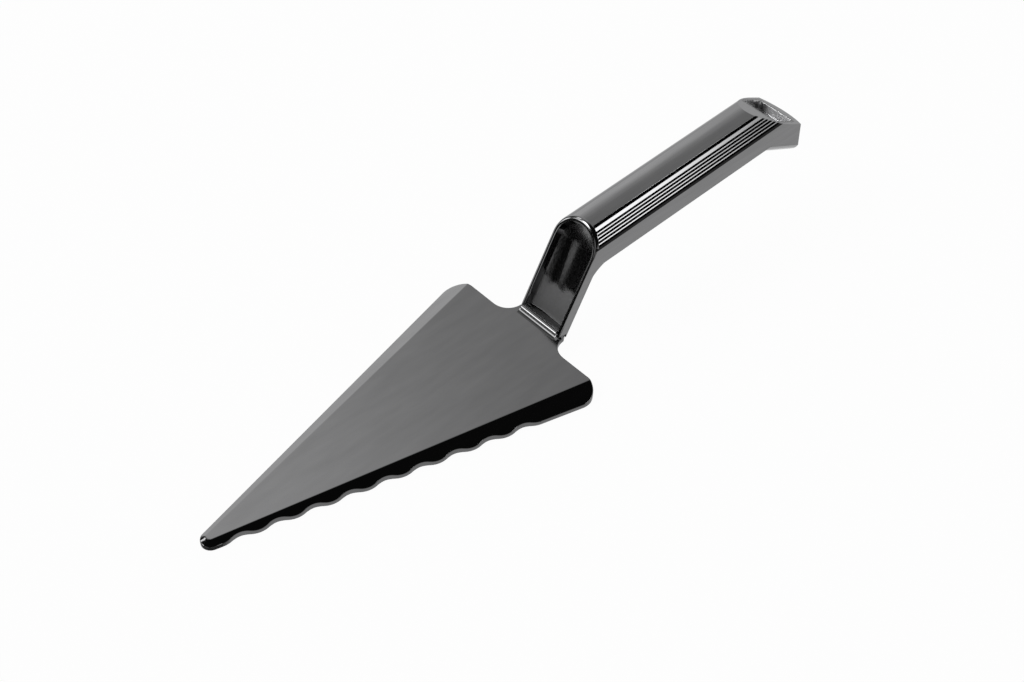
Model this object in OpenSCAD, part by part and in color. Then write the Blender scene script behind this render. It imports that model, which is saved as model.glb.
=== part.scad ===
// Cake server: a pressed blade with a wavy cutting edge, held by its tongue in a cranked hollow handle.
// X runs from the tip to the handle's end, the wavy edge is on the -Y side, Z is up.
// The blade rests with its turned-down rim on Z = 0, and the origin is at the middle of the base.

/* [Blade] */
// Length from the point where the two fold lines meet to the rear edge
blade_l = 130; // [115:1:150]
// Width of the flat face at the rear edge
blade_w = 58; // [48:1:70]
// Thickness of the sheet
sheet_t = 1.6; // [1.2:0.1:1.8]
// Width of the turned-down edge at the rear
fold_rear_w = 6.3; // [5:0.1:8]
// Width of the turned-down edge at the tip
fold_tip_w = 1.95; // [1.5:0.05:3]
// Angle by which the edges are turned down
fold_angle = 23; // [15:1:35]
// Distance from the meeting point of the fold lines to the centre of the round nose
nose_x = 5.3; // [4:0.1:8]
// Length of the fold across the nose
nose_fold = 2.1; // [1:0.1:3]
// Radius of the two rear corners
corner_r = 6.2; // [3:0.1:9]
// Depth ground off the rim to give it a flat foot
rim_flat = 0.3; // [0.2:0.05:0.5]
// Distance by which the outline lies towards the wavy edge
edge_shift = 0.35; // [0:0.05:0.4]

/* [Wavy edge] */
// Number of waves
wave_count = 9; // [4:1:9]
// Length of one wave along the edge
wave_pitch = 11.6; // [8:0.1:12]
// Depth of a wave
wave_depth = 1.25; // [0.5:0.05:1.8]
// Distance along the edge to the first crest
wave_start = 7.1; // [6:0.1:12]

/* [Tongue] */
// Width of the root that carries the neck
root_w = 20.4; // [19.5:0.1:24]
// Radius between the rear edge and the root
root_r = 6; // [3:0.1:6.5]
// Width of the root at its end, under the back of the neck
root_end_w = 18; // [16:0.1:19]
// Width of the tongue inside the neck
tongue_w = 10; // [8:0.5:10]
// Length of the tongue up the neck
tongue_l = 20; // [16:0.5:21]
// Thickness of the tongue, thinned to fit behind the recess
tongue_t = 1.2; // [0.8:0.1:1.2]
// Inner radius of the tongue's bend
tongue_bend_r = 2; // [1.5:0.1:3]
// Diameter of the two rivet shanks
rivet_d = 2.6; // [2:0.1:3]
// Diameter of the rivet heads
rivet_head_d = 5; // [4:0.1:6]
// Thickness of the rivet heads
rivet_head_t = 0.6; // [0.4:0.1:0.8]
// Distance from the neck's foot to the first rivet
rivet_x = 11.5; // [10:0.5:13]
// Distance between the rivets
rivet_gap = 7; // [6:0.5:9]

/* [Neck] */
// Distance from the rear edge of the blade to the neck's foot
neck_gap = 4.5; // [3:0.1:6]
// Angle of the neck to the blade
neck_angle = 60.3; // [50:0.1:68]
// Length of the neck along its slope, to the corner under the handle
neck_l = 24.9; // [23:0.1:32]
// Depth of the neck at its sides
neck_d = 2.8; // [2.4:0.1:3.6]
// Depth of the pad in the neck that the tongue is riveted to
pad_d = 2.2; // [2.1:0.1:2.4]
// Width of the rim round the dished recess
recess_rim = 1.4; // [1:0.1:2]
// Depth of the recess at the foot of its side walls
recess_edge = 2.2; // [1.6:0.1:2.3]
// Depth of the recess along its middle
recess_mid = 2.5; // [2.4:0.1:3]
// Distance by which the side walls of the recess lean in
recess_lean = 0.9; // [0.7:0.1:1.2]
// Radius of the recess's lower end, seen from the side
recess_turn_r = 4; // [3.8:0.1:5]
// Thickness of the shell round the recess
recess_t = 1; // [0.8:0.1:1.1]
// Thickness left between the recess and the bores for the rivets
bore_floor = 0.5; // [0.4:0.1:0.6]
// Radius of the bead across the neck's foot
bead_r = 1; // [0.6:0.1:1.4]
// Flat strip between the bead and the recess
bead_gap = 0.3; // [0.2:0.1:0.6]
// Radius of the hollow fillet between the bead and the blade
foot_r = 1.8; // [1.2:0.1:2]
// Radius of the bend between the neck and the handle, along the lower edges of the walls
neck_bend_r = 14; // [10:0.5:16]

/* [Handle] */
// Width of the handle
handle_w = 19; // [17:0.5:19]
// Length between the corners at the neck and at the tail, under the handle
handle_l = 80.3; // [66:0.1:110]
// Angle by which the handle rises from the blade's plane
handle_pitch = 3.1; // [0:0.1:8]
// Height of the straight side walls
wall_h = 3; // [2:0.1:5]
// Radius of the shoulders of the rounded top
shoulder_r = 7.5; // [6.5:0.1:8]
// Radius of the crown of the rounded top
crown_r = 11; // [10:0.1:14]
// Depth of the rounded back below the side walls
back_h = 5.8; // [5.8:0.1:7]
// Height of the straight band along the edges of the back
back_band = 0.6; // [0.4:0.1:1.2]
// Wall thickness of the rounded top
wall_t = 1.6; // [1.4:0.1:1.8]
// Wall thickness of the rounded back
back_t = 1.2; // [1:0.1:1.4]
// Radius of the bend between the handle and the tail, along the lower edges of the walls
bend_r = 8; // [6.5:0.1:10]

/* [Fluted panel] */
// Distance of the panel's upper edge from the middle of the handle
panel_in = 3.4; // [3:0.1:4]
// Distance of the panel's lower edge from the middle of the handle
panel_out = 8.6; // [8.4:0.1:8.8]
// Distance from the neck's front face to the start of the panel
panel_gap = 1; // [0.8:0.1:3]
// Number of flutes in the panel
flute_count = 5; // [3:1:5]
// Distance between flutes
flute_pitch = 1; // [0.9:0.05:1]
// Depth of a flute, whose two flat sides lie at right angles
flute_depth = 0.36; // [0.2:0.01:0.4]
// Distance from the panel's upper edge to its first flute
flute_start = 2.4; // [2:0.1:2.4]
// Depth of the wider flute along the panel's upper edge
edge_flute_depth = 0.5; // [0.3:0.05:0.5]
// Distance from the panel's upper edge to the middle of that flute
edge_flute_at = 0.55; // [0.55:0.05:0.65]

/* [Tail] */
// Length of the tail under the handle, behind its corner
tail_l = 16.3; // [15:0.1:24]
// Angle by which the tail turns down from the blade's plane
tail_angle = 26.3; // [15:0.1:30]
// Angle of the sloped facet on the tail to the blade's plane
facet_angle = 28.1; // [24:0.1:32]
// Length of the facet along the blade's plane
facet_l = 20.4; // [18:0.1:22]
// Radius of the curved end, seen from above
end_r = 23; // [16:0.5:40]
// Width of the hanging slot across the handle
slot_w = 14.6; // [10:0.1:15]
// Length of the hanging slot along the handle
slot_l = 9.1; // [8:0.1:9.5]
// Corner radius of the hanging slot
slot_r = 1; // [0.8:0.1:2]
// Width of the ledge round the inside of the slot
slot_step = 1.6; // [1:0.1:2]
// Depth of the ledge under the facet
slot_depth = 3.3; // [2:0.1:5]
// Distance from the slot to the end
slot_end = 3.9; // [3.4:0.1:4.4]
// Wall thickness of the eyelet that lines the slot
eyelet_t = 0.8; // [0.6:0.1:1]

/* [Fits] */
// Clearance between pieces that are pushed together
clear = 0.1; // [0.05:0.01:0.15]
// Diameter of the pegs that join the back to the top
peg_d = 2.6; // [2:0.1:3]
// Diameter of the bosses and posts round the pegs
post_d = 6; // [5:0.1:7]
// Length of a peg in its boss
peg_l = 4.5; // [3:0.1:5]
// Distance from the corner at the neck to the first peg
peg_x = 16; // [14:1:24]
// Distance between the pegs
peg_gap = 40; // [24:1:42]
// Height of the lips that centre the back between the side walls
lip_h = 1.8; // [1:0.1:2]
// Thickness of the lips
lip_t = 0.9; // [0.6:0.1:1]

/* [Hidden] */
$fn = 96;
far = 800;
over = 1;
// Overlap of arcs with what they run into, and step where the back changes direction
lap = 0.01;
lap_angle = 5;
// Turn between two steps of the hollow fillet
fillet_step = 12;

// Blade: slope of the fold line and of the outer edge, in plan
fold_slope = blade_w / 2 / blade_l;
fold_yaw = atan(fold_slope);
edge_slope = fold_slope + (fold_rear_w - fold_tip_w) / blade_l;
edge_yaw = atan(edge_slope);
nose_r = edge_y(nose_x) * cos(edge_yaw);
nose_front = nose_x - nose_r;
nose_turn = (90 - fold_yaw) / 2;
corner_x = blade_l - corner_r;
corner_y = edge_y(corner_x) - corner_r / cos(edge_yaw);
wave_r = (pow(wave_pitch / 2, 2) + pow(wave_depth, 2)) / (4 * wave_depth);

// The rim's lower edge is straight, so the whole server tilts until that edge lies on Z = 0
rim_slope = tan(fold_angle) * cos(fold_yaw);
rest_tilt = atan(rim_slope * (fold_rear_w - fold_tip_w) / blade_l);
rim_drop = rim_slope * fold_tip_w + sheet_t / cos(fold_angle);
lift = rim_drop * cos(rest_tilt) - rim_flat;

// Side view: the neck's foot, and the corners of the line along the lower edges of the side walls
foot = [blade_l + neck_gap, 0];
wall_foot = foot + [neck_d / sin(neck_angle), 0];
neck_corner = wall_foot + neck_l * along(neck_angle);
tail_corner = neck_corner + handle_l * along(handle_pitch);
wall_end = tail_corner + tail_l * along(-tail_angle);
neck_turn = neck_angle - handle_pitch;
tail_turn = handle_pitch + tail_angle;
neck_cut = neck_bend_r * tan(neck_turn / 2);
tail_cut = bend_r * tan(tail_turn / 2);

// Cross-section of the handle: half width, height of the crown and radius of the back
half_w = handle_w / 2;
top_h = wall_h + arch_rise(half_w, shoulder_r, crown_r);
back_sag = back_h - back_band;
back_r = (pow(half_w, 2) + pow(back_sag, 2)) / (2 * back_sag);

// Where the crown line meets the neck's front face, measured along the slope from the foot
crown_start = neck_corner + top_h * across(handle_pitch);
arch_top = cross2(crown_start - foot, along(handle_pitch)) / cross2(along(neck_angle), along(handle_pitch));
recess_w = half_w - recess_rim;
recess_dip = recess_mid - recess_edge;
recess_r = (pow(recess_w - recess_lean, 2) + pow(recess_dip, 2)) / (2 * recess_dip);
recess_turn = 2 * bead_r + bead_gap + recess_turn_r;
recess_centre = arch_top - recess_rim - recess_w;

// Tongue: depth of its front face behind the neck's front face
tongue_depth = neck_d + pad_d;
tongue_corner = foot[0] + tongue_depth / sin(neck_angle);
tongue_cut = tongue_bend_r * tan(neck_angle / 2);
tongue_bend = tongue_corner - tongue_cut;
tongue_back = tongue_bend + sqrt(pow(tongue_bend_r + tongue_t, 2) - pow(tongue_bend_r, 2));
bore_l = tongue_depth - recess_mid - bore_floor;

// Tail: the end, and the point where the facet leaves the crown
end_x = wall_end[0] + end_r - sqrt(pow(end_r, 2) - pow(half_w, 2));
facet_x = end_x - facet_l;
facet_z = crown_start[1] + (facet_x - crown_start[0]) * tan(handle_pitch);
slot_x = end_x - slot_end - slot_l / 2;
slot_z = facet_z - (slot_x - facet_x) * tan(facet_angle);

// Panel: the chord that replaces the rounded surface
panel_a = [panel_in, top_y(panel_in)];
panel_b = [panel_out, top_y(panel_out)];
panel_w = norm(panel_b - panel_a);
panel_tilt = atan2(panel_b[1] - panel_a[1], panel_b[0] - panel_a[0]);

// Middle of the whole length, after the tilt
mid_x = (nose_front + end_x) / 2 * cos(rest_tilt) - (wall_end[1] - back_h) / 2 * sin(rest_tilt);

function along(a) = [cos(a), sin(a)];
function across(a) = [-sin(a), cos(a)];
function cross2(a, b) = a[0] * b[1] - a[1] * b[0];
function edge_y(x) = fold_tip_w + edge_slope * x;
function arch_drop(w, r_side, r_mid) = sqrt(pow(r_mid - r_side, 2) - pow(w - r_side, 2));
function arch_rise(w, r_side, r_mid) = r_mid - arch_drop(w, r_side, r_mid);

// Height of the rounded top over the lower edge of the walls, at a distance y from the middle
function top_y(y) =
    let (side = half_w - shoulder_r, drop = arch_drop(half_w, shoulder_r, crown_r))
    y < crown_r * side / (crown_r - shoulder_r)
    ? wall_h - drop + sqrt(pow(crown_r, 2) - pow(y, 2))
    : wall_h + sqrt(pow(shoulder_r, 2) - pow(y - side, 2));

// Frames

// The tilted place of everything that is drawn in the blade's own plane
module placed() {
    translate([-mid_x, edge_shift, lift]) rotate([0, -rest_tilt, 0]) children();
}

// X up the neck's slope, Z out of its front face
module on_neck() {
    translate([foot[0], 0, foot[1]]) rotate([0, -neck_angle, 0]) children();
}

// X along the handle from the corner at the neck, Z from the lower edge of the walls to the crown
module on_handle() {
    translate([neck_corner[0], 0, neck_corner[1]]) rotate([0, -handle_pitch, 0]) children();
}

// Z out of the tail's sloped facet
module on_facet() {
    translate([facet_x, 0, facet_z]) rotate([0, facet_angle, 0]) children();
}

// A shape drawn in side view, as wide as the whole server
module side_wide(w = far) {
    rotate([90, 0, 0]) linear_extrude(w, center = true) children();
}

// A cross-section drawn in Y and Z, drawn out along X
module run(l) {
    rotate([90, 0, 90]) linear_extrude(l) children();
}

// Blade

module outline_half() {
    turn = [-sin(edge_yaw), cos(edge_yaw)];
    nose_side = [nose_x, 0] + nose_r * turn;
    corner_side = [corner_x, corner_y] + corner_r * turn;
    polygon([[nose_x, 0], nose_side, corner_side, [corner_x, corner_y], [blade_l, corner_y], [blade_l, 0]]);
    translate([nose_x, 0]) circle(nose_r + lap);
    translate([corner_x, corner_y]) circle(corner_r + lap);
}

module root_half() {
    root_end = wall_foot[0] - clear;
    polygon([
        [corner_x, 0],
        [root_end, 0],
        [root_end, root_end_w / 2],
        [blade_l + root_r, root_w / 2],
        [corner_x, root_w / 2],
    ]);
    difference() {
        translate([blade_l - over, 0]) square([over + root_r, root_w / 2 + root_r]);
        translate([blade_l + root_r, root_w / 2 + root_r]) circle(root_r - lap);
    }
}

// What the waves take off, in the frame of the straight edge, with the blade on the +Y side
module waves() {
    difference() {
        translate([0, -over]) square([wave_count * wave_pitch, over + wave_depth / 2]);
        for (i = [0 : wave_count]) translate([i * wave_pitch, wave_r + lap]) circle(wave_r);
    }
    for (i = [0 : wave_count - 1]) translate([(i + 0.5) * wave_pitch, wave_depth - wave_r]) circle(wave_r + lap);
}

module blade_outline() {
    difference() {
        for (side = [0, 1]) {
            translate([0, -edge_shift]) mirror([0, side]) outline_half();
            mirror([0, side]) root_half();
        }
        translate([0, -edge_shift - fold_tip_w]) rotate(-edge_yaw) translate([wave_start, 0]) waves();
    }
}

// Everything under a level face, lowered by drop
module under(drop) {
    translate([-far / 2, -far / 2, -far - drop]) cube(far);
}

// Everything under one of the folds that lead round the nose
module under_nose(turn, drop) {
    translate([nose_x, 0, 0]) rotate([0, 0, turn]) translate([nose_fold - nose_r, 0, 0])
        rotate([0, -fold_angle, 0]) under(drop);
}

// Everything under the sheet's flat face, its two turned-down edges and the three folds of its nose
module under_sheet(drop) {
    intersection() {
        under(drop);
        rotate([0, 0, fold_yaw]) rotate([-fold_angle, 0, 0]) under(drop);
        rotate([0, 0, -fold_yaw]) rotate([fold_angle, 0, 0]) under(drop);
        under_nose(-nose_turn, drop);
        under_nose(0, drop);
        under_nose(nose_turn, drop);
    }
}

module blade() {
    color("dimgray") placed() {
        intersection() {
            translate([0, 0, -far / 2]) linear_extrude(far) blade_outline();
            difference() {
                under_sheet(0);
                under_sheet(sheet_t);
            }
            rotate([0, rest_tilt, 0]) translate([0, 0, far - lift]) under(0);
        }
        tongue();
    }
}

// Side view of the tongue: it leaves the root flat and bends up behind the neck
module tongue_side() {
    start = wall_foot[0] - clear - over;
    translate([start, -tongue_t]) square([tongue_bend - start, tongue_t]);
    translate([tongue_corner, 0]) rotate(neck_angle) translate([tongue_cut, -tongue_t]) square([tongue_l, tongue_t]);
    translate([tongue_bend, tongue_bend_r]) difference() {
        intersection() {
            circle(tongue_bend_r + tongue_t - lap);
            rotate(-90 - lap_angle) square(far);
            rotate(neck_angle + lap_angle - 180) square(far);
        }
        circle(tongue_bend_r + lap);
    }
}

module tongue() {
    difference() {
        side_wide(tongue_w) tongue_side();
        at_rivets() translate([0, 0, -tongue_depth - tongue_t - over])
            cylinder(d = rivet_d + clear, h = tongue_t + 2 * over);
    }
}

module at_rivets() {
    on_neck() for (i = [0, 1]) translate([rivet_x + i * rivet_gap, 0, 0]) children();
}

module tongue_rivets() {
    color("gray") placed() at_rivets() {
        translate([0, 0, -tongue_depth - tongue_t - rivet_head_t]) cylinder(d = rivet_head_d, h = rivet_head_t);
        translate([0, 0, -tongue_depth - tongue_t]) cylinder(d = rivet_d, h = tongue_t + bore_l);
    }
}

// Handle

// A rounded top: two side arcs and a flatter one between them, over straight walls of depth h
module arch(w, r_side, r_mid, inset, h) {
    side = w - r_side;
    drop = arch_drop(w, r_side, r_mid);
    reach = 3 * r_mid / (r_mid - r_side);
    for (s = [-1, 1]) translate([s * side, 0]) circle(r_side - inset + lap);
    intersection() {
        translate([0, -drop]) circle(r_mid - inset);
        translate([0, -drop]) polygon([[0, 0], [side * reach, drop * reach], [-side * reach, drop * reach]]);
    }
    translate([inset - w, -h]) square([2 * (w - inset), h]);
}

module top_section(inset) {
    translate([0, wall_h]) arch(half_w, shoulder_r, crown_r, inset, far / 4);
}

module back_section(inset) {
    intersection() {
        translate([0, back_r - back_h]) circle(back_r - inset);
        square([2 * (half_w - inset), 2 * back_r], center = true);
    }
}

// Side view of what lies below the lower edges of the walls, with the two bends rounded
module below_walls() {
    neck_bend = neck_corner + neck_cut * along(handle_pitch) - neck_bend_r * across(handle_pitch);
    tail_bend = tail_corner - tail_cut * along(handle_pitch) - bend_r * across(handle_pitch);
    polygon([
        tail_corner + far * along(-tail_angle),
        tail_corner + tail_cut * along(-tail_angle),
        tail_corner - tail_cut * along(handle_pitch),
        neck_corner + neck_cut * along(handle_pitch),
        neck_corner - neck_cut * along(neck_angle),
        wall_foot - far * along(neck_angle),
    ]);
    translate(neck_bend) circle(neck_bend_r + lap);
    translate(tail_bend) circle(bend_r + lap);
}

// The rounded back's cross-section, drawn out along the neck, the handle and the tail
module back_runs(inset) {
    on_neck() translate([-neck_l, 0, -neck_d]) run(2 * neck_l + bend_r) back_section(inset - lap);
    on_handle() translate([-bend_r, 0, 0]) run(handle_l + 2 * bend_r) back_section(inset);
    tail_run(inset);
}

module tail_run(inset) {
    translate([tail_corner[0], 0, tail_corner[1]]) rotate([0, tail_angle, 0])
        translate([-bend_r, 0, 0]) run(2 * tail_l) back_section(inset - lap);
}

// Everything in front of the curved end, moved in by inset
module before_end(inset) {
    centre = end_x - end_r;
    translate([centre - far, -far / 2, -far / 2]) cube(far);
    translate([centre, 0, -far / 2]) cylinder(r = end_r - inset, h = far);
}

// The rounded top of the handle and neck as a solid, between the neck's front face, the facet and the end
module top_solid(inset, front) {
    intersection() {
        on_handle() translate([-far / 2, 0, 0]) run(far) top_section(inset);
        on_neck() under(front);
        on_facet() under(inset);
        before_end(inset);
    }
}

// The dished recess in the neck's front face, with a round upper end, grown by grow and cut off at the height top
module recess(grow, top) {
    on_neck() intersection() {
        union() {
            run(recess_centre) recess_section(1, grow, top);
            translate([recess_centre, 0, 0]) rotate_extrude() recess_section(0, grow, top);
        }
        side_wide() recess_side(grow);
    }
}

// Leaning side walls and a rounded floor, with the left half or without it
module recess_section(left, grow, top) {
    slope = recess_lean / recess_edge;
    low = -recess_mid - grow - over;
    low_w = recess_w + grow + slope * low;
    top_w = recess_w + grow + slope * top;
    intersection() {
        translate([0, recess_r - recess_mid]) circle(recess_r + grow);
        polygon([[-left * low_w, low], [low_w, low], [top_w, top], [-left * top_w, top]]);
    }
}

// Side view of the recess's rounded lower end and of everything above it
module recess_side(grow) {
    translate([recess_turn, 0]) circle(recess_turn_r + grow);
    translate([recess_turn, -far / 2]) square(far);
}

// A flat panel with flutes, sunk into the shoulder over the wavy edge
module panel() {
    intersection() {
        mirror([0, 1, 0]) on_handle() translate([-far / 4, panel_a[0], panel_a[1]]) rotate([panel_tilt, 0, 0]) {
            cube([far, panel_w, half_w]);
            flute(edge_flute_at, edge_flute_depth);
            for (i = [0 : flute_count - 1]) flute(flute_start + i * flute_pitch, flute_depth);
        }
        on_neck() under(panel_gap);
    }
}

module flute(at, depth) {
    translate([0, at, -depth]) rotate([45, 0, 0]) cube([far, 2 * depth, 2 * depth]);
}

// Side view of the hollow fillet in front of the neck's foot
module foot_fillet() {
    hollow = [for (i = [5 : -1 : 1]) foot_r * [sin(i * fillet_step) - 1, 1 - cos(i * fillet_step)]];
    toe = hollow[4] - foot_r * along(fillet_step / 2);
    translate(foot) polygon(concat([[toe[0], -over], [over, -over], [over, hollow[0][1]]], hollow, [toe]));
}

// The hanging slot, upright, with its outline grown by grow
module slot(grow) {
    translate([slot_x, 0, slot_z]) rotate([0, rest_tilt, 0]) translate([0, 0, -far / 2]) linear_extrude(far)
        slot_outline(slot_l + 2 * grow, slot_w + 2 * grow, slot_r + max(grow, 0));
}

module slot_outline(l, w, r) {
    for (x = [-1, 1], y = [-1, 1]) translate([x * (l / 2 - r), y * (w / 2 - r)]) circle(r);
    square([l, w - 2 * r], center = true);
    square([l - 2 * r, w], center = true);
}

module at_pegs() {
    on_handle() for (i = [0, 1]) translate([peg_x + i * peg_gap, 0, 0]) children();
}

module handle_top() {
    color("dimgray") placed() difference() {
        union() {
            difference() {
                top_solid(0, 0);
                side_wide() below_walls();
                top_solid(wall_t, neck_d);
                panel();
            }
            recess(recess_t, -neck_d / 2);
            intersection() {
                top_solid(wall_t / 2, 0);
                at_pegs() translate([0, 0, wall_h]) cylinder(d = post_d, h = top_h);
            }
            on_neck() translate([rivet_x - rivet_head_d, -tongue_w / 2, -tongue_depth])
                cube([rivet_gap + 2 * rivet_head_d, tongue_w, tongue_depth - neck_d / 2]);
            on_neck() translate([bead_r, 0, 0]) rotate([90, 0, 0])
                cylinder(r = bead_r, h = 2 * recess_w, center = true);
            side_wide(handle_w - 2 * bead_r) foot_fillet();
        }
        recess(0, over);
        at_pegs() translate([0, 0, wall_h - over]) cylinder(d = peg_d + clear, h = peg_l + over + clear);
        at_rivets() translate([0, 0, -tongue_depth - over]) cylinder(d = rivet_d, h = bore_l + over);
        slot(eyelet_t + clear / 2);
        under(0);
    }
}

module handle_back() {
    color("dimgray") placed() difference() {
        union() {
            difference() {
                back_solid();
                back_cavity();
            }
            at_pegs() {
                translate([0, 0, -back_h + back_t / 2]) cylinder(d = post_d, h = back_h - back_t / 2 + wall_h);
                cylinder(d = peg_d, h = wall_h + peg_l);
            }
            lips();
        }
        slot(eyelet_t + clear / 2);
        tongue_way();
    }
}

module back_solid() {
    intersection() {
        back_runs(0);
        side_wide() below_walls();
        before_end(0);
        translate([0, 0, far]) under(sheet_t);
    }
}

module back_cavity() {
    intersection() {
        back_runs(back_t);
        before_end(wall_t);
        translate([0, 0, far]) under(0);
    }
}

// Room for the blade's root and tongue in the floor of the back
module tongue_way() {
    translate([wall_foot[0] - far / 2, 0, 0]) under(0);
    translate([0, -tongue_w / 2 - clear, -far]) cube([tongue_back + clear, tongue_w + 2 * clear, far]);
}

// Two lips that stand inside the side walls of the handle
module lips() {
    outer = half_w - wall_t - clear;
    for (side = [0, 1]) mirror([0, side, 0]) on_handle()
        translate([neck_cut + post_d / 2, outer - lip_t, -lip_h])
            cube([handle_l - neck_cut - tail_cut - post_d, lip_t, 2 * lip_h]);
}

// The slot's lining, from the facet to the back, with a ledge round its inside
module hang_eyelet() {
    color("gray") placed() intersection() {
        difference() {
            slot(eyelet_t);
            slot(-slot_step);
            difference() {
                slot(0);
                on_facet() under(slot_depth);
            }
        }
        top_solid(0, 0);
        tail_run(0);
    }
}

blade();
handle_top();
handle_back();
hang_eyelet();
tongue_rivets();
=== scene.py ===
"""Looks of the cake server: dark chrome on every piece, in a white studio, from the photographed view."""

import math

import bmesh
import bpy
from mathutils import Matrix, Vector


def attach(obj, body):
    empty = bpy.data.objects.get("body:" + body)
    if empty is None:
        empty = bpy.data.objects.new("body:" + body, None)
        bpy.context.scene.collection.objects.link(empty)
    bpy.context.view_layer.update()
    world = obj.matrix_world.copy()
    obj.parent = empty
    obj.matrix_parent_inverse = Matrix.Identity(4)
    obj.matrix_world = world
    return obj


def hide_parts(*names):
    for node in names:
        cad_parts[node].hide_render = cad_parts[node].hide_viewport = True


MM = 0.001

# Camera, in the row frame
LOOK_AT = Vector((0.68, 2.57, 0.55)) * MM
CAMERA_DISTANCE = 610.9 * MM
CAMERA_AZIMUTH = -132.69
CAMERA_ELEVATION = 45.40
CAMERA_ROLL = 0.85
CAMERA_LENS_MM = 67.04

# Directions of the part's flat faces, its middle plane, and places that tell its features apart
NECK_FRONT = Vector((-0.8754, 0.0, 0.4834))
TAIL_FACET = Vector((0.4587, 0.0, 0.8886))
MIDDLE_Y = 0.35 * MM
NOSE_X = (-118 * MM, -115 * MM)
ROOT_X = 13 * MM
ARCH_Z = 20 * MM
RIM_Y = 9 * MM
BEAD_Z = 4.75 * MM
RECESS_Z = 8 * MM
RECESS_SPOT = Vector((18.5, 0.35, 17.2)) * MM
PANEL_X = (25 * MM, 116 * MM)
PANEL_Y = (-9.3 * MM, -3.2 * MM)
SLOT_MIDDLE_X = 114.5 * MM
# Distance from the origin, along the facet's direction, that only the lining's land lies beyond
LAND_HEIGHT = 83 * MM

# Limits of the normals of faces, as cosines
SAME_WAY = math.cos(math.radians(3))
TOP_SIDE = 0.8
UPRIGHT = 0.1
RIM_TILT = 0.3
UNDERSIDE = -0.3
RECESS_WAY = 0.9
FLUTE_SIDE = (0.1, 0.5)
FLUTE_EDGE = -0.97
PANEL_SHOULDER = (-0.93, -0.89)
FILLET_UP = 0.5
FILLET_FRONT = -0.05

# Rounding of the edges
JOIN = 0.002 * MM
FLAT = math.radians(0.3)
HARD = math.radians(15)
BEVEL_SEGMENTS = 4
LARGEST = 1.5 * MM
NOSE_FOLD_RADIUS = 0.35 * MM
FOLD_RADIUS = 0.2 * MM
BLADE_RIM_RADIUS = 0.25 * MM
NECK_RIM_RADIUS = 0.95 * MM
MOUTH_RADIUS = 0.25 * MM
HOLLOW_RADIUS = 0.3 * MM
RIVET_RADIUS = 0.2 * MM

# Finish. Each has its colour, roughness, scale and depth of grain, and the radius of its soft edges
CHROME = (0.2, 0.2, 0.202)
# The slot's lining has a satin roughness, and its light colour is painted light inside the slot
SATIN_AND_PAINTED_LIGHT = (0.72, 0.72, 0.725)
STEEL = (0.5, 0.5, 0.51)
FINISHES = {
    "blade chrome": (CHROME, 0.09, (60, 300, 300), 0.15, 0.0),
    "handle chrome": (CHROME, 0.09, (60, 900, 900), 0.25, 0.0),
    "slot satin and painted light": (SATIN_AND_PAINTED_LIGHT, 0.33, (300, 300, 300), 0.05, 0.5 * MM),
    "rivet steel": (STEEL, 0.3, (500, 500, 500), 0.3, 0.0),
}
GRAZING = (0.75, 0.75, 0.755)
GRAIN_DETAIL = 3.0
BUMP_DISTANCE = 0.02 * MM
ROUGHNESS_SPREAD = 0.2
TONE_SPREAD = 0.12
SOFT_SAMPLES = 16
# A painted shade of 1 is the colour times this share
DARKEST = 0.08
# Painted shade on the blade's rim, full at the nose
RIM_SHADE = 0.35
# Painted shade on the fillet under the bead, which dims its highlight
FILLET_SHADE = 0.7
# The land of the slot's lining is darkened back from its painted light to the handle's colour
LAND_SHADE = 0.785
# The foot of the recess is duller, up to a wavy line
HAZE_ROUGHNESS = 0.32
HAZE_Z = (22 * MM, 17.5 * MM)
HAZE_WAVE = 180
HAZE_WAVE_DETAIL = 1.0
HAZE_WAVE_Z = 9 * MM

# Studio. The surroundings are a ceiling that is lit on the far side, with a brighter wall under it, a low
# wall on the right, one in front, and soft patches. Each soft edge has the direction that it is measured
# along, and where the light starts and is full
CEILING_LEVEL = 0.69
CEILING_EDGE = ((1, 1, 0), 0.22, 0.5)
CEILING_END = ((1, 0, 0), -0.02, 0.18)
WALL_LEVEL = 1.0
WALL_TOP = ((0, 0, 1), 0.82, 0.25)
WALL_END = ((1, 0, 0), 0.7, 0.48)
RIGHT_LEVEL = 0.85
RIGHT_TOP = ((0, 0, 1), 0.16, 0.02)
RIGHT_EDGE = ((0.45, -0.89, 0), 0.5, 0.8)
FRONT_LEVEL = 0.5
FRONT_TOP = ((0, 0, 1), 0.6, 0.35)
FRONT_EDGE = ((0, -1, 0), 0.5, 0.75)
ROOM_LEVEL = 0.012
# Each patch has its direction, inner and outer angle in degrees, and level
PATCHES = {
    "key softbox": ((-0.59, 0.42, 0.69), 5, 12, 10.0),
    "key foot": ((-0.73, 0.50, 0.46), 4, 10, 6.0),
    "key side": ((-0.52, 0.68, 0.50), 3, 9, 3.0),
    "left softbox": ((-0.42, 0.88, 0.22), 4, 12, 5.0),
    "nose softbox": ((-0.26, 0.71, 0.65), 3, 8, 4.0),
    "strip softbox": ((0.40, -0.58, 0.71), 3, 9, 5.0),
    "strip end": ((0.52, -0.51, 0.68), 3, 9, 1.5),
    "left fill": ((-0.88, -0.15, 0.45), 8, 20, 0.5),
    "recess streak": ((-0.854, 0.515, 0.078), 0.1, 0.9, 1.1),
    "recess line": ((-0.909, 0.405, 0.098), 0.1, 0.9, 1.5),
}
# A round card over the blade, seen in its front half, that fades from its middle to its rim
CARD_PLACE = Vector((-2, 348, 476)) * MM
CARD_SIZE = 700 * MM
CARD_LEVEL = 0.58
CARD_MIDDLE = (0.5, 0.5, 0.0)
CARD_FADE = (0.5, 0.05)
FLOOR_COLOUR = (0.9, 0.9, 0.9)
FLOOR_GLOW = 0.97
FLOOR_SIZE = 3.0

# Numbers of a mix node's two values and of its result, for each kind of value
MIX_SOCKETS = {"VECTOR": (4, 5, 1), "RGBA": (6, 7, 2)}
WHOLE = (0.0, 1.0)


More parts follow.
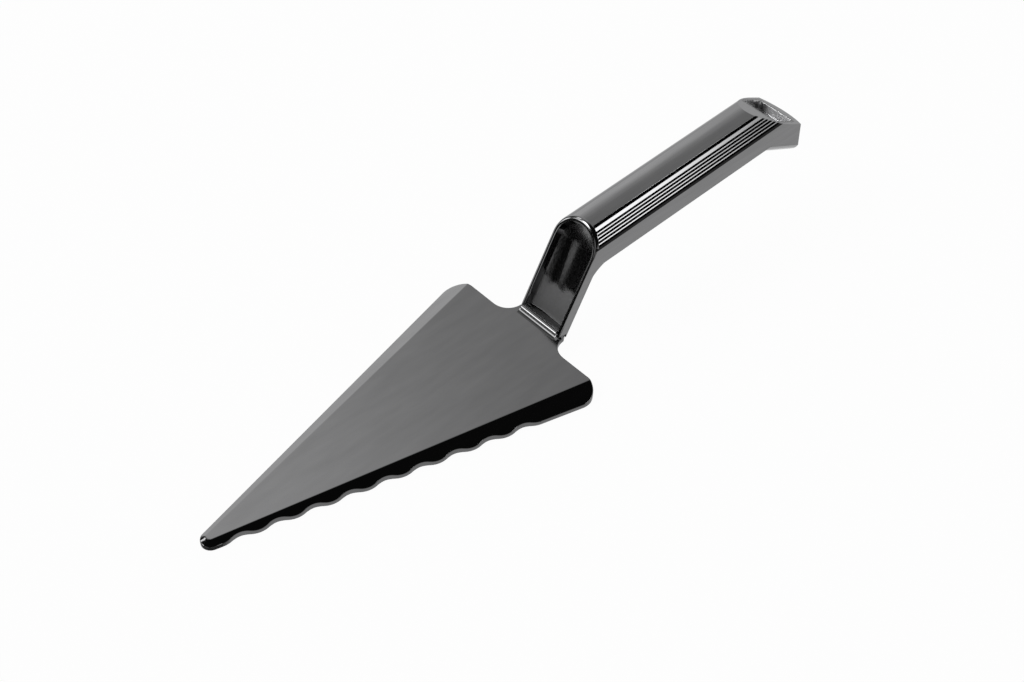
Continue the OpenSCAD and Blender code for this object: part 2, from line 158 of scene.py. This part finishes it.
def link_node(tree, kind, **settings):
    """Adds a shader node. A setting is a property where the node has one of that name, and else the value or
    link of a socket, which is given by its name, or by its number as i0, i1 and so on."""
    made = tree.nodes.new(kind)
    for name, value in settings.items():
        if hasattr(made, name):
            setattr(made, name, value)
            continue
        numbered = name[0] == "i" and name[1:].isdigit()
        socket = made.inputs[int(name[1:]) if numbered else name]
        if isinstance(value, bpy.types.NodeSocket):
            tree.links.new(value, socket)
        else:
            socket.default_value = value
    return made


def combine(tree, operation, *values):
    """Works out a sum, product or the like from values, one after the other."""
    total = values[0]
    for value in values[1:]:
        total = link_node(tree, "ShaderNodeMath", operation=operation, i0=total, i1=value).outputs[0]
    return total


def map_range(tree, value, source, target=WHOLE, interpolation="LINEAR"):
    """Maps a value from one range to another."""
    made = link_node(tree, "ShaderNodeMapRange", interpolation_type=interpolation, Value=value)
    for name, limit in zip(("From Min", "From Max", "To Min", "To Max"), (*source, *target)):
        made.inputs[name].default_value = limit
    return made.outputs["Result"]


def mix(tree, kind, share, first, second):
    """Mixes two vectors or two colours."""
    one, two, result = MIX_SOCKETS[kind]
    values = {"i0": share, f"i{one}": first, f"i{two}": second}
    return link_node(tree, "ShaderNodeMix", data_type=kind, **values).outputs[result]


def noise(tree, vector, scale, detail):
    return link_node(tree, "ShaderNodeTexNoise", Vector=vector, Scale=scale, Detail=detail).outputs["Fac"]


def attribute(tree, name):
    return link_node(tree, "ShaderNodeAttribute", attribute_name=name).outputs["Fac"]


def soft_normal(tree, place, radius):
    """The normal, softened near the edges on the far side of the slot."""
    soft = link_node(tree, "ShaderNodeBevel", samples=SOFT_SAMPLES, Radius=radius).outputs["Normal"]
    plain = link_node(tree, "ShaderNodeNewGeometry").outputs["Normal"]
    along = link_node(tree, "ShaderNodeSeparateXYZ", Vector=place).outputs["X"]
    return mix(tree, "VECTOR", combine(tree, "GREATER_THAN", along, SLOT_MIDDLE_X), plain, soft)


def recess_dullness(tree, place):
    """Roughness that is added at the foot of the recess, up to a wavy line."""
    height = link_node(tree, "ShaderNodeSeparateXYZ", Vector=place).outputs["Z"]
    wave = combine(tree, "MULTIPLY", noise(tree, place, HAZE_WAVE, HAZE_WAVE_DETAIL), HAZE_WAVE_Z)
    raised = combine(tree, "ADD", height, wave)
    low = map_range(tree, raised, HAZE_Z, (0.0, HAZE_ROUGHNESS), "SMOOTHSTEP")
    return combine(tree, "MULTIPLY", low, attribute(tree, "haze"))


def metal(name, colour, roughness, grain_scale, grain_depth, edge_radius):
    """A metal with a faint grain, which varies its roughness, its tone and its surface."""
    material = bpy.data.materials.new(name)
    material.use_nodes = True
    tree = material.node_tree
    shader = tree.nodes["Principled BSDF"]
    place = link_node(tree, "ShaderNodeTexCoord").outputs["Object"]
    stretched = link_node(tree, "ShaderNodeMapping", Vector=place, Scale=grain_scale).outputs["Vector"]
    grain = noise(tree, stretched, 1.0, GRAIN_DETAIL)
    bump = link_node(tree, "ShaderNodeBump", Height=grain, Strength=grain_depth, Distance=BUMP_DISTANCE)
    if edge_radius:
        tree.links.new(soft_normal(tree, place, edge_radius), bump.inputs["Normal"])
    tree.links.new(bump.outputs["Normal"], shader.inputs["Normal"])

    spread = (roughness * (1 - ROUGHNESS_SPREAD), roughness * (1 + ROUGHNESS_SPREAD))
    rough = combine(tree, "ADD", map_range(tree, grain, WHOLE, spread), recess_dullness(tree, place))
    tree.links.new(rough, shader.inputs["Roughness"])

    dark = [value * DARKEST for value in colour]
    # Painted shade: the shade attribute mixes a face's colour towards its darkest
    tone = mix(tree, "RGBA", attribute(tree, "shade"), (*colour, 1.0), (*dark, 1.0))
    level = map_range(tree, grain, WHOLE, (1 - TONE_SPREAD, 1 + TONE_SPREAD))
    varied = link_node(tree, "ShaderNodeVectorMath", operation="SCALE", i0=tone, Scale=level)
    tree.links.new(varied.outputs["Vector"], shader.inputs["Base Color"])
    shader.inputs["Metallic"].default_value = 1.0
    shader.inputs["Specular Tint"].default_value = (*GRAZING, 1.0)
    return material


def faces_way(edge, way):
    """Whether one of an edge's two faces looks a given way."""
    return any(face.normal.dot(way) > SAME_WAY for face in edge.link_faces)


def middle(edge):
    return (edge.verts[0].co + edge.verts[1].co) / 2


def sharp(edge):
    return 0.0


def blade_rounding(edge):
    """Radius on the blade: the folds, more at the nose, and the rim's upper edge as far as the root."""
    slopes = [face.normal.z for face in edge.link_faces]
    if min(slopes) > TOP_SIDE:
        return NOSE_FOLD_RADIUS if middle(edge).x < NOSE_X[1] else FOLD_RADIUS
    if max(slopes, key=abs) < UPRIGHT:
        return 0.0
    return BLADE_RIM_RADIUS if middle(edge).x < ROOT_X else 0.0


def top_rounding(edge):
    """Radius on the handle's upper shell: the neck's rim, and the mouth and hollow of its recess."""
    spot = middle(edge)
    across = spot.y - MIDDLE_Y
    if min(face.normal.z for face in edge.link_faces) < UNDERSIDE:
        return 0.0
    if not faces_way(edge, NECK_FRONT):
        return 0.0
    if not edge.is_convex:
        return HOLLOW_RADIUS if spot.z > RECESS_Z else 0.0
    if spot.z < RECESS_Z and abs(across) < RIM_Y:
        return 0.0
    out = Vector((0.0, across, max(spot.z - ARCH_Z, 0.0)))
    other = min(edge.link_faces, key=lambda face: face.normal.dot(NECK_FRONT))
    return NECK_RIM_RADIUS if other.normal.dot(out) > 0 else MOUTH_RADIUS


def rivet_rounding(edge):
    return RIVET_RADIUS


def no_shade(face):
    return 0.0


def blade_shade(face):
    """How much darker a face of the blade is, as painted shade: its rim, and most of all at the nose."""
    if abs(face.normal.z) > RIM_TILT:
        return 0.0
    behind = (face.calc_center_median().x - NOSE_X[0]) / (NOSE_X[1] - NOSE_X[0])
    return 1.0 + (RIM_SHADE - 1.0) * min(max(behind, 0.0), 1.0)


def top_shade(face):
    """How much darker a face of the upper shell is, as painted shade: the flutes, their shoulder, the fillet
    under the bead.
    """
    spot = face.calc_center_median()
    across = spot.y - MIDDLE_Y
    side = face.normal.y
    if PANEL_X[0] < spot.x < PANEL_X[1] and PANEL_Y[0] < across < PANEL_Y[1]:
        flute = FLUTE_SIDE[0] < side < FLUTE_SIDE[1] or side < FLUTE_EDGE
        shoulder = PANEL_SHOULDER[0] < side < PANEL_SHOULDER[1]
        return 1.0 if flute or shoulder else 0.0
    fillet = spot.z < BEAD_Z and face.normal.z > FILLET_UP and face.normal.x < FILLET_FRONT
    return FILLET_SHADE if fillet else 0.0


def eyelet_shade(face):
    """How much darker a face of the slot's lining is: its land on the facet, which takes back the lining's
    painted light and looks like the handle.
    """
    height = face.calc_center_median().dot(TAIL_FACET)
    return LAND_SHADE if face.normal.dot(TAIL_FACET) > SAME_WAY and height > LAND_HEIGHT else 0.0


def recess_haze(face):
    """Whether a face is the floor of the neck's recess."""
    depth = (face.calc_center_median() - RECESS_SPOT).dot(NECK_FRONT)
    return 1.0 if face.normal.dot(NECK_FRONT) > RECESS_WAY and depth < 0 else 0.0


def marked_mesh(name, radius_of, shade_of):
    """A copy of a node's mesh, with the rounding of its edges and the painted shade and haze of its faces."""
    mesh = bmesh.new()
    mesh.from_mesh(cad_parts[name].data)
    bmesh.ops.remove_doubles(mesh, verts=mesh.verts, dist=JOIN)
    bmesh.ops.dissolve_limit(mesh, angle_limit=FLAT, verts=mesh.verts, edges=mesh.edges)
    mesh.normal_update()
    weights = mesh.edges.layers.float.new("bevel_weight_edge")
    for edge in mesh.edges:
        if len(edge.link_faces) != 2 or edge.calc_face_angle() < HARD:
            continue
        radius = radius_of(edge)
        edge[weights] = radius / LARGEST
        edge.smooth = radius > 0
    shades = mesh.faces.layers.float.new("shade")
    hazes = mesh.faces.layers.float.new("haze")
    for face in mesh.faces:
        face.smooth = True
        face[shades] = shade_of(face)
        face[hazes] = recess_haze(face)
    data = bpy.data.meshes.new(name + "_surface")
    mesh.to_mesh(data)
    mesh.free()
    return data


def add_object(name, data):
    made = bpy.data.objects.new(name, data)
    bpy.context.scene.collection.objects.link(made)
    return made


def rounded(name, radius_of, material, shade_of=no_shade):
    """Replaces a node by a copy with rounded edges and faces darkened by painted shade."""
    data = marked_mesh(name, radius_of, shade_of)
    data.materials.append(material)
    piece = add_object(name + "_surface", data)
    bevel = piece.modifiers.new("edges", "BEVEL")
    bevel.width = LARGEST
    bevel.segments = BEVEL_SEGMENTS
    bevel.limit_method = "WEIGHT"
    bevel.use_clamp_overlap = False
    normals = piece.modifiers.new("normals", "WEIGHTED_NORMAL")
    normals.keep_sharp = True
    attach(piece, "root")
    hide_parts(name)


def lit_area(tree, direction, level, *edges):
    """The light of an area of the surroundings, inside its soft edges."""
    shares = []
    for towards, start, full in edges:
        along = link_node(tree, "ShaderNodeVectorMath", operation="DOT_PRODUCT", i0=direction, i1=towards)
        shares.append(map_range(tree, along.outputs["Value"], (start, full), WHOLE, "SMOOTHSTEP"))
    return combine(tree, "MULTIPLY", *shares, level)


def build_world():
    """The studio as the metal shows it. The camera sees plain white."""
    world = bpy.data.worlds.new("studio")
    bpy.context.scene.world = world
    world.use_nodes = True
    tree = world.node_tree
    tree.nodes.clear()
    direction = link_node(tree, "ShaderNodeTexCoord").outputs["Generated"]
    wall = lit_area(tree, direction, WALL_LEVEL, WALL_TOP, WALL_END)
    overhead = combine(tree, "ADD", wall, CEILING_LEVEL)
    levels = [
        lit_area(tree, direction, overhead, CEILING_EDGE, CEILING_END),
        lit_area(tree, direction, RIGHT_LEVEL, RIGHT_TOP, RIGHT_EDGE),
        lit_area(tree, direction, FRONT_LEVEL, FRONT_TOP, FRONT_EDGE),
        ROOM_LEVEL,
    ]
    for towards, inner, outer, level in PATCHES.values():
        edge = (Vector(towards).normalized(), math.cos(math.radians(outer)), math.cos(math.radians(inner)))
        levels.append(lit_area(tree, direction, level, edge))
    lit = link_node(tree, "ShaderNodeBackground", Strength=combine(tree, "ADD", *levels))
    white = link_node(tree, "ShaderNodeBackground", Color=(1, 1, 1, 1), Strength=1.0)
    path = link_node(tree, "ShaderNodeLightPath").outputs
    seen = combine(tree, "MAXIMUM", path["Is Camera Ray"], path["Is Transmission Ray"])
    mixed = link_node(tree, "ShaderNodeMixShader", i0=seen, i1=lit.outputs[0], i2=white.outputs[0])
    link_node(tree, "ShaderNodeOutputWorld", Surface=mixed.outputs[0])


def build_card():
    data = bpy.data.lights.new("card", "AREA")
    data.shape = "DISK"
    data.size = CARD_SIZE
    # A disk's power is its radiance times pi times its area
    data.energy = CARD_LEVEL * math.pi * math.pi * CARD_SIZE ** 2 / 4
    data.use_nodes = True
    tree = data.node_tree
    place = link_node(tree, "ShaderNodeNewGeometry").outputs["Parametric"]
    away = link_node(tree, "ShaderNodeVectorMath", operation="DISTANCE", i0=place, i1=CARD_MIDDLE)
    fade = map_range(tree, away.outputs["Value"], CARD_FADE, WHOLE, "SMOOTHSTEP")
    tree.links.new(fade, tree.nodes["Emission"].inputs["Strength"])
    card = add_object("card", data)
    turn = CARD_PLACE.to_track_quat("Z", "Y").to_matrix().to_4x4()
    card.matrix_world = Matrix.Translation(CARD_PLACE) @ turn


def build_floor():
    """A white floor that keeps some of the object's shadow."""
    bpy.ops.mesh.primitive_plane_add(size=FLOOR_SIZE)
    floor = bpy.context.object
    floor.name = "floor"
    material = bpy.data.materials.new("white floor")
    material.use_nodes = True
    tree = material.node_tree
    tree.nodes.clear()
    path = link_node(tree, "ShaderNodeLightPath").outputs
    rays = [path[f"Is {kind} Ray"] for kind in ("Camera", "Glossy", "Transmission")]
    share = combine(tree, "MULTIPLY", combine(tree, "MAXIMUM", *rays), FLOOR_GLOW)
    matt = link_node(tree, "ShaderNodeBsdfDiffuse", Color=(*FLOOR_COLOUR, 1.0))
    white = link_node(tree, "ShaderNodeEmission", Strength=1.0)
    mixed = link_node(tree, "ShaderNodeMixShader", i0=share, i1=matt.outputs[0], i2=white.outputs[0])
    link_node(tree, "ShaderNodeOutputMaterial", Surface=mixed.outputs[0])
    floor.data.materials.append(material)


def build_camera():
    azimuth = math.radians(CAMERA_AZIMUTH)
    elevation = math.radians(CAMERA_ELEVATION)
    level = math.cos(elevation)
    towards = Vector((level * math.cos(azimuth), level * math.sin(azimuth), math.sin(elevation)))
    data = bpy.data.cameras.new("camera")
    data.lens = CAMERA_LENS_MM
    data.sensor_fit = "HORIZONTAL"
    camera = add_object("camera", data)
    roll = Matrix.Rotation(math.radians(CAMERA_ROLL), 4, "Z")
    turn = towards.to_track_quat("Z", "Y").to_matrix().to_4x4() @ roll
    camera.matrix_world = Matrix.Translation(LOOK_AT + towards * CAMERA_DISTANCE) @ turn
    bpy.context.scene.camera = camera


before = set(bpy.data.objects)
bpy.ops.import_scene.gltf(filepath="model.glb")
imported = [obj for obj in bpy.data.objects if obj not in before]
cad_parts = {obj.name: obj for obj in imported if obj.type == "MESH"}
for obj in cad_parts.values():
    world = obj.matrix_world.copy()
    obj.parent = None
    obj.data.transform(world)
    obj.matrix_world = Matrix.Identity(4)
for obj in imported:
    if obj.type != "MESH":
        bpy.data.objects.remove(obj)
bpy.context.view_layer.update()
bpy.context.scene.view_settings.view_transform = "Standard"

metals = {name: metal(name, *values) for name, values in FINISHES.items()}
rounded("blade", blade_rounding, metals["blade chrome"], blade_shade)
rounded("handle_top", top_rounding, metals["handle chrome"], top_shade)
rounded("handle_back", sharp, metals["handle chrome"])
rounded("hang_eyelet", sharp, metals["slot satin and painted light"], eyelet_shade)
rounded("tongue_rivets", rivet_rounding, metals["rivet steel"])

build_world()
build_card()
build_floor()
build_camera()
